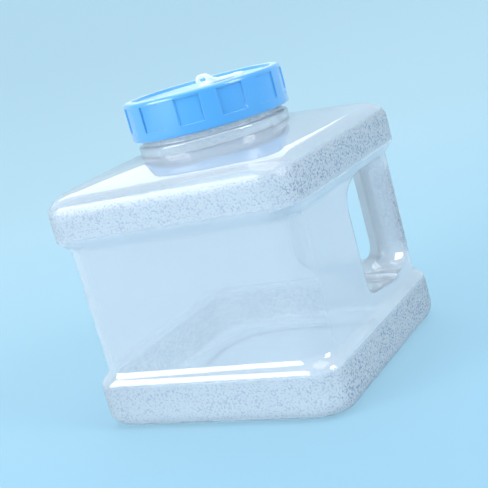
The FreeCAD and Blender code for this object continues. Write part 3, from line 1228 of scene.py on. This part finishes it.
        overrun, band_fade, grip_fade = 4 * MM, 4 * MM, 12 * MM
        skin_depth, skin_fade, base_foot = 0.8 * MM, 0.5 * MM, 2 * MM
        band_reach, front_depth, front_fade, front_thinning = 14 * MM, 12 * MM, 11 * MM, 0.5
        grip_behind, grip_reach, grip_foot, grip_head = 12 * MM, 6 * MM, 14 * MM, 8 * MM
        skin = rise(self.solid(places), -skin_depth, skin_fade)
        base = zone(base_foot, self.base_band, band_fade)
        bands = base + zone(self.band_foot, self.band_top + overrun, band_fade)
        on_side = np.maximum(np.abs(x), np.abs(y)) > self.half - self.panel_inset - band_reach
        # The front keeps only half of its pebbling, so the painted shade in its pebbles is fainter there.
        # Their bump and frost are weaker there too.
        bands *= on_side * (1 - front_thinning * rise(-y, self.half - front_depth, front_fade))
        along, across = (x + y) / DIAGONAL, (y - x) / DIAGONAL
        grip = rise(along, self.panel_reach - grip_behind, grip_reach)
        grip *= rise(-np.abs(across), -self.grip_width / 2 - overrun, overrun)
        grip *= zone(self.slope_top + grip_foot, self.panel_top - grip_head, grip_fade)
        shares = np.clip(bands + grip, 0, 1) * skin
        attribute = thing.data.attributes.new("pebble", "FLOAT", "POINT")
        attribute.data.foreach_set("value", shares.astype(np.float32))

    def build(self, finish: bpy.types.Material) -> bpy.types.Object:
        """Makes the body, dresses it and puts it on its CAD body.

        Args:
            finish: The clear plastic.

        Returns:
            The finished piece.
        """
        outer = combined(self.hull(), self.neck(finish), Operation.JOIN)
        inner = combined(self.cavity(), self.bore(), Operation.JOIN)
        body = combined(outer, inner, Operation.CUT)
        body.name = body.data.name = "clear_jug_body"
        self.mark_pebbles(body)
        dress(body, finish, self.crease)
        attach(body, "jug")
        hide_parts("jug_body")
        return body


# ---- cap ------------------------------------------------------------------------------------------------
@dataclass
class ScrewCap:
    """Ribbed screw cap with its inner thread, and the sealing ring under its deck."""

    foot: float
    top: float
    radius: float
    deck_drop: float = 2.3 * MM
    deck_thickness: float = 2 * MM
    rim_width: float = 6.5 * MM
    rim_slope: float = 1.2 * MM
    rim_gutter: float = 1.4 * MM
    rim_edge: float = 0.8 * MM
    top_edge: float = 4.2 * MM
    foot_edge: float = 1.2 * MM
    foot_lead_in: float = 0.5 * MM
    wall: float = 3.4 * MM
    inner_edge: float = 1 * MM
    small_edge: float = 0.4 * MM
    pocket_count: int = 12
    pocket_angle: float = 18.5
    pocket_depth: float = 1.2 * MM
    pocket_foot: float = 6.2 * MM
    pocket_head: float = 3.2 * MM
    pocket_turn: float = -11.0
    pocket_edge: float = 0.5 * MM
    pocket_clear: float = 0.6 * MM
    skirt_steps: int = 5
    arc_step: float = 15.0
    spigot_radius: float = 46.8 * MM
    spigot_wall: float = 2 * MM
    spigot_height: float = 6 * MM
    spigot_edge: float = 0.5 * MM
    spigot_root: float = 0.6 * MM
    thread: Thread = Thread(turns=1.1, runout=0.1)
    thread_start: float = 7.8 * MM
    thread_gap: float = 0.1 * MM
    seal_gap: float = 0.3 * MM
    seal_edge: float = 0.5 * MM
    seal_arc_step: float = 30.0
    segments: int = 144
    crease: float = 35.0
    seal_crease: float = 60.0

    @property
    def bore(self) -> float:
        """Inner radius of the skirt."""
        return self.radius - self.wall

    @property
    def deck(self) -> float:
        """Height of the deck's upper face."""
        return self.top - self.deck_drop

    def outline(self) -> Outline:
        """Section of the cap from the axis, over the deck, down the skirt and back under the deck.

        Returns:
            The points of the section.
        """
        rim = self.radius - self.rim_width
        under = self.deck - self.deck_thickness
        spigot_inner, spigot_foot = self.spigot_radius - self.spigot_wall, under - self.spigot_height
        low, high = self.pocket_heights
        edge, steps = self.pocket_edge, self.skirt_steps
        heights = [high + edge, high, high - edge]
        heights += [high + (low - high) * k / steps for k in range(1, steps)]
        heights += [low + edge, low, low - edge]
        return rounded_outline([
            (0, self.deck, 0),
            (rim / 2, self.deck, 0),
            (rim - self.rim_slope - self.rim_gutter, self.deck, 0),
            (rim - self.rim_slope, self.deck, self.rim_edge),
            (rim, self.top, self.rim_edge),
            (self.radius, self.top, min(self.top_edge, self.pocket_head - self.pocket_clear)),
            *((self.radius, z, 0) for z in heights),
            (self.radius, self.foot, self.foot_edge),
            (self.bore + self.foot_lead_in, self.foot, self.small_edge),
            (self.bore, self.foot + self.foot_edge, 0),
            (self.bore, under, self.inner_edge),
            (self.spigot_radius, under, self.small_edge),
            (self.spigot_radius, spigot_foot, self.spigot_edge),
            (spigot_inner, spigot_foot, self.spigot_edge),
            (spigot_inner, under, self.spigot_root),
            (0, under, 0),
        ], self.arc_step)

    @property
    def pocket_heights(self) -> tuple[float, float]:
        """Heights of a pocket's foot and head."""
        return self.foot + self.pocket_foot, self.top - self.pocket_head

    @property
    def pocket_edge_angle(self) -> float:
        """Degrees round the cap that a pocket's sloping edge takes up."""
        return math.degrees(self.pocket_edge / self.radius)

    def pocket_share(self, degrees: float, z: float) -> float:
        """How deep a pocket is at a place on the skirt.

        Args:
            degrees: Angle from the pocket's middle.
            z: Height.

        Returns:
            Share of the pocket's depth, from 0 to 1.
        """
        low, high = self.pocket_heights
        share = min(
            (self.pocket_angle / 2 - abs(degrees)) / self.pocket_edge_angle,
            (z - low) / self.pocket_edge,
            (high - z) / self.pocket_edge,
        )
        return eased(min(1.0, max(0.0, share)))

    def sector(self) -> bpy.types.Object:
        """Makes one pocket with half of the ridge on each side, through the whole section of the cap.

        Returns:
            An object that is open at its two sides.
        """
        on_skirt = self.radius - 0.01 * MM
        side, edge = self.pocket_angle / 2, self.pocket_edge_angle
        half_pitch = 180 / self.pocket_count
        columns = sorted({
            sign * value
            for value in (0, side * 0.35, side * 0.7, side - edge, side - edge / 2, side, half_pitch)
            for sign in (-1, 1)
        })
        vertices, rows = [], []
        for radius, z in self.outline():
            rows.append([])
            for degrees in columns:
                depth = self.pocket_depth * self.pocket_share(degrees, z) if radius > on_skirt else 0
                angle = math.radians(degrees)
                rows[-1].append(len(vertices))
                vertices.append(((radius - depth) * math.cos(angle), (radius - depth) * math.sin(angle), z))
        faces = []
        for low, high in zip(rows, rows[1:]):
            for k in range(len(columns) - 1):
                faces.append([low[k], low[k + 1], high[k + 1], high[k]])
        mesh = bpy.data.meshes.new("screw_cap_sector")
        mesh.from_pydata(vertices, [], faces)
        return new_object("blue_screw_cap", mesh)

    def build(self, finish: bpy.types.Material, holes: Sequence[bpy.types.Object]) -> bpy.types.Object:
        """Makes the cap, dresses it and puts it on its CAD body.

        Args:
            finish: The blue plastic.
            holes: Cutters for the vent hole and the anchor hole.

        Returns:
            The finished piece.
        """
        cap = ring_tree().applied(self.sector(), count=self.pocket_count, material=finish)
        if enclosed(cap.data) < 0:
            cap.data.flip_normals()
        cap.data.transform(Matrix.Rotation(math.radians(self.pocket_turn), 4, "Z"))
        start = self.foot + self.thread_start
        ridge = self.thread.ridge("cap_thread", self.bore + self.thread_gap, start, self.segments, finish)
        cap = combined(cap, ridge, Operation.JOIN)
        for hole in holes:
            cap = combined(cap, hole, Operation.CUT)
        dress(cap, finish, self.crease)
        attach(cap, "cap")
        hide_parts("screw_cap")
        return cap

    def build_seal(self, finish: bpy.types.Material) -> bpy.types.Object:
        """Makes the sealing ring, dresses it and puts it on its CAD body.

        Args:
            finish: The seal's rubber.

        Returns:
            The finished piece.
        """
        low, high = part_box("cap_seal")
        inner, outer, edge = self.spigot_radius + self.seal_gap, high.x, self.seal_edge
        corners = [(inner, low.z, edge), (outer, low.z, edge), (outer, high.z, edge), (inner, high.z, edge)]
        seal = turned("seal_ring", rounded_outline(corners, self.seal_arc_step), self.segments)
        dress(seal, finish, self.seal_crease)
        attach(seal, "seal")
        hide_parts("cap_seal")
        return seal


# ---- vent plug ------------------------------------------------------------------------------------------
@dataclass
class VentPlug:
    """White moulding on the cap's deck: plug, pull tab, strap and anchor button."""

    deck: float
    deck_thickness: float
    direction: float = 31.5
    position: float = 2.5 * MM
    offset: float = -12 * MM
    hole_radius: float = 3.1 * MM
    plug_length: float = 3.4 * MM
    plug_taper: float = 0.95 * MM
    plug_gap: float = 0.15 * MM
    plug_edge: float = 0.6 * MM
    head_radius: float = 4.4 * MM
    head_height: float = 1.2 * MM
    head_edge: float = 0.5 * MM
    tab_width: float = 10.2 * MM
    tab_shift: float = -0.5 * MM
    tab_height: float = 8.2 * MM
    tab_thickness: float = 4.4 * MM
    tab_edge: float = 1.5 * MM
    eye_width: float = 4.2 * MM
    eye_height: float = 2.1 * MM
    eye_level: float = 4.3 * MM
    eye_edge: float = 0.6 * MM
    strap_start: float = 3.06 * MM
    strap_length: float = 24 * MM
    strap_width: float = 4.6 * MM
    strap_thickness: float = 2.8 * MM
    strap_lift: float = 0.4 * MM
    strap_edge: float = 1 * MM
    strap_rise: float = 2.2 * MM
    slope_start: float = 3 * MM
    slope_length: float = 8 * MM
    anchor_radius: float = 2 * MM
    anchor_gap: float = 0.1 * MM
    button_radius: float = 3.4 * MM
    button_edge: float = 0.9 * MM
    barb: float = 1 * MM
    barb_height: float = 1.5 * MM
    barb_edge: float = 0.4 * MM
    join: float = 0.8 * MM
    strap_join: float = 2.2 * MM
    bend_start: float = 22 * MM
    bend_end: float = 16 * MM
    spacing: float = 0.36 * MM
    probe: float = 0.01 * MM
    hole_segments: int = 48
    crease: float = 60.0

    @property
    def turn(self) -> Matrix:
        """Turn of the moulding about the Z axis."""
        return Matrix.Rotation(math.radians(self.direction), 4, "Z")

    def placed(self, along: float) -> Vector:
        """Point on the deck at a distance from the vent hole's axis towards the anchor's."""
        return self.turn @ Vector((self.position + along, self.offset, self.deck))

    def holes(self) -> list[bpy.types.Object]:
        """Makes the cutters for the two holes in the deck.

        Returns:
            Two closed objects.
        """
        cutters = []
        low, high = -self.deck_thickness - MM, MM
        holes = (("vent_hole", 0.0, self.hole_radius), ("anchor_hole", self.strap_length, self.anchor_radius))
        for name, along, radius in holes:
            outline = [(0, low), (radius, low), (radius, high), (0, high)]
            cutter = turned(name, outline, self.hole_segments)
            cutter.data.transform(Matrix.Translation(self.placed(along)))
            cutters.append(cutter)
        return cutters

    def strap_top(self, along: np.ndarray) -> np.ndarray:
        """Height of the strap's upper face: it leaves the tab high and comes down in an S to lie level."""
        share = np.clip((along - self.slope_start) / self.slope_length, 0, 1)
        return self.strap_lift + self.strap_thickness + self.strap_rise * (1 - eased(share))

    def solid(self, points: np.ndarray) -> np.ndarray:
        """Signed distance to the whole moulding, in its own place: +X towards the anchor, Z up from the deck.

        Args:
            points: Rows of coordinates.

        Returns:
            One distance for each row.
        """
        x, y, z = points.T

        def slot(length: float, height: float, level: float) -> np.ndarray:
            """Distance to a lying slot with round ends, seen from the side."""
            straight = max(length - height, 0) / 2
            return np.hypot(np.maximum(np.abs(x - self.tab_shift) - straight, 0), z - level) - height / 2

        def layer(flat: np.ndarray, low: float, high: float, edge: float) -> np.ndarray:
            """Distance to a flat shape between two heights, with rounded edges."""
            middle, half = (low + high) / 2, (high - low) / 2
            return soft_max(flat, np.abs(z - middle) - half, reach_for(edge))

        middle = self.head_height / 2
        tab_height = self.tab_height - middle
        tab = slot(self.tab_width, tab_height, middle + tab_height / 2)
        tab = soft_max(tab, np.abs(y) - self.tab_thickness / 2, reach_for(self.tab_edge))
        tab = soft_max(tab, -slot(self.eye_width, self.eye_height, self.eye_level), reach_for(self.eye_edge))
        radius = np.hypot(x, y)
        head = layer(radius - self.head_radius, 0, self.head_height, self.head_edge)
        taper = self.plug_taper / self.plug_length
        stem = radius - (self.hole_radius - self.plug_gap) - taper * np.minimum(z, 0)
        stem = layer(stem, -self.plug_length, middle, self.plug_edge)
        strap = np.maximum(z - self.strap_top(x), self.strap_lift - z)
        strap = soft_max(strap, np.abs(y) - self.strap_width / 2, reach_for(self.strap_edge))
        ends = np.maximum(self.strap_start - x, x - self.strap_length)
        strap = soft_max(strap, ends, reach_for(self.join))
        away = np.hypot(x - self.strap_length, y)
        top = self.strap_lift + self.strap_thickness
        button = layer(away - self.button_radius, 0, top, self.button_edge)
        flare = (z + self.stalk_length) / self.barb_height
        flare = np.where(flare < 1, self.barb * np.maximum(flare, 0), 0)
        stalk = away - self.anchor_radius + self.anchor_gap - flare
        stalk = layer(stalk, -self.stalk_length, top / 2, self.barb_edge)
        above = soft_min(soft_min(tab, head, reach_for(self.join)), strap, reach_for(self.strap_join))
        above = soft_min(above, button, reach_for(self.join))
        return np.minimum(np.minimum(above, stem), stalk)

    @property
    def stalk_length(self) -> float:
        """From the deck's upper face to the foot of the anchor's barb."""
        return self.deck_thickness + self.barb_height

    def build(self, finish: bpy.types.Material) -> bpy.types.Object:
        """Makes the moulding, dresses it and puts it in place on the cap's deck.

        Args:
            finish: The white silicone.

        Returns:
            The finished piece.
        """
        step = self.spacing
        net = SurfaceNet(self.solid, (
            grid_line((-self.tab_width / 2 - MM, step), (self.strap_length + self.button_radius + MM, 0)),
            grid_line((-self.head_radius - MM, step), (self.head_radius + MM, 0)),
            grid_line((-self.stalk_length - MM, step), (self.tab_height + MM, 0)),
        ), self.probe)
        vent = mesh_object("white_vent_plug", *net.build())
        vent.data.transform(Matrix.Translation(self.placed(0.0)) @ self.turn)
        dress(vent, finish, self.crease)
        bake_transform(vent)
        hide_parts("vent_plug", "vent_anchor")
        return vent


# ---- studio ---------------------------------------------------------------------------------------------
@dataclass(frozen=True)
class Softbox:
    """A rectangular lamp that faces the object, with its place in degrees and its size in metres."""

    name: str
    azimuth: float
    elevation: float
    distance: float
    width: float
    height: float
    power: float


@dataclass
class Studio:
    """Pale floor that rises all round into a wall, softboxes, and the camera."""

    aim_height: float = 97 * MM
    azimuth: float = 31.54
    elevation: float = 12.35
    roll: float = 15.47
    distance: float = 0.7302
    aside: float = -0.9 * MM
    lens: float = 75.22
    sensor: float = 36.0
    floor_radius: float = 1.3
    bend_radius: float = 1.2
    wall_height: float = 3.2
    wall_segments: int = 96
    bend_steps: int = 18
    room_colour: tuple[float, ...] = (0.80, 0.91, 1.0, 1.0)
    room_light: float = 0.55
    room_seen: float = 0.95
    boxes: tuple[Softbox, ...] = (
        Softbox("key_softbox", -36, 19, 1.5, 0.95, 0.8, 16.5),
        Softbox("right_softbox", 80, 30, 1.5, 0.5, 1.0, 12),
        Softbox("top_softbox", 0, 89, 1.6, 1.4, 1.4, 8.5),
        Softbox("back_softbox", 215, 42, 1.6, 1.5, 0.9, 6),
    )

    @property
    def middle(self) -> Vector:
        """Point that the lamps and the camera face."""
        return Vector((0.0, 0.0, self.aim_height))

    def back(self, azimuth: float, elevation: float) -> Vector:
        """Direction from the object towards an azimuth and an elevation, in degrees."""
        turn, rise = math.radians(azimuth), math.radians(elevation)
        return Vector((math.sin(turn) * math.cos(rise), -math.cos(turn) * math.cos(rise), math.sin(rise)))

    def stage(self, paint: bpy.types.Material) -> None:
        """Makes the floor and the wall around it.

        Args:
            paint: The studio paint.
        """
        outline = [(0.0, 0.0), (self.floor_radius, 0.0)]
        for step in range(1, self.bend_steps + 1):
            angle = math.pi / 2 * step / self.bend_steps
            outline.append((
                self.floor_radius + self.bend_radius * math.sin(angle),
                self.bend_radius * (1 - math.cos(angle)),
            ))
        outline.append((self.floor_radius + self.bend_radius, self.wall_height))
        floor = turned("studio_floor", outline, self.wall_segments)
        floor.data.flip_normals()
        dress(floor, paint, RIGHT_ANGLE)

    def light(self) -> None:
        """Hangs the softboxes and sets the even light of the room."""
        for box in self.boxes:
            data = bpy.data.lights.new(box.name, "AREA")
            data.shape = "RECTANGLE"
            data.size, data.size_y = box.width, box.height
            data.energy = box.power
            lamp = bpy.data.objects.new(box.name, data)
            bpy.context.scene.collection.objects.link(lamp)
            back = self.back(box.azimuth, box.elevation)
            lamp.location = self.middle + back * box.distance
            lamp.rotation_euler = (-back).to_track_quat("-Z", "Y").to_euler()
        world = bpy.data.worlds.new("studio_room")
        world.use_nodes = True
        bench = NodeBench(world.node_tree)
        room = bench.tree.nodes["Background"]
        ray = bench.node("ShaderNodeLightPath").outputs
        seen = bench.math("MAXIMUM", ray["Is Glossy Ray"], ray["Is Transmission Ray"])
        bench.put(room.inputs["Color"], self.room_colour)
        bench.put(room.inputs["Strength"], bench.between(seen, self.room_light, self.room_seen))
        bpy.context.scene.world = world

    def shoot(self) -> None:
        """Sets up the camera, which leans to its right so that the jug leans to its left."""
        scene = bpy.context.scene
        back = self.back(self.azimuth, self.elevation)
        turn = math.radians(self.azimuth)
        right = Vector((math.cos(turn), math.sin(turn), 0.0))
        data = bpy.data.cameras.new("camera")
        data.lens, data.sensor_width = self.lens, self.sensor
        camera = bpy.data.objects.new("camera", data)
        scene.collection.objects.link(camera)
        place = Matrix.Translation(self.middle + right * self.aside + back * self.distance)
        level = (-back).to_track_quat("-Z", "Y").to_matrix().to_4x4()
        camera.matrix_world = place @ level @ Matrix.Rotation(math.radians(-self.roll), 4, "Z")
        scene.camera = camera
        scene.view_settings.view_transform = "Standard"


def main() -> None:
    """Builds every piece around the frame and reports it."""
    logging.basicConfig(level=logging.INFO, format="%(message)s", force=True)
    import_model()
    _, jug_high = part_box("jug_body")
    cap_low, cap_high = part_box("screw_cap")

    jug = JugBody(half=jug_high.x, lip=jug_high.z)
    cap = ScrewCap(foot=cap_low.z, top=cap_high.z, radius=cap_high.x)
    vent = VentPlug(deck=cap.deck, deck_thickness=cap.deck_thickness)
    white = Silicone("white_silicone", (0.90, 0.93, 0.97), (0.84, 0.89, 0.95))
    grey = Silicone("seal_rubber", (0.72, 0.78, 0.84), (0.66, 0.72, 0.78))
    made = [
        jug.build(ClearPlastic().material()),
        cap.build(BluePlastic().material(), vent.holes()),
        cap.build_seal(grey.material()),
        vent.build(white.material()),
    ]
    for piece in made:
        piece.data.calc_loop_triangles()
        LOG.info("%s: %d triangles", piece.name, len(piece.data.loop_triangles))

    studio = Studio()
    studio.stage(StudioPaint().material())
    studio.light()
    studio.shoot()


if __name__ == "__main__":
    main()
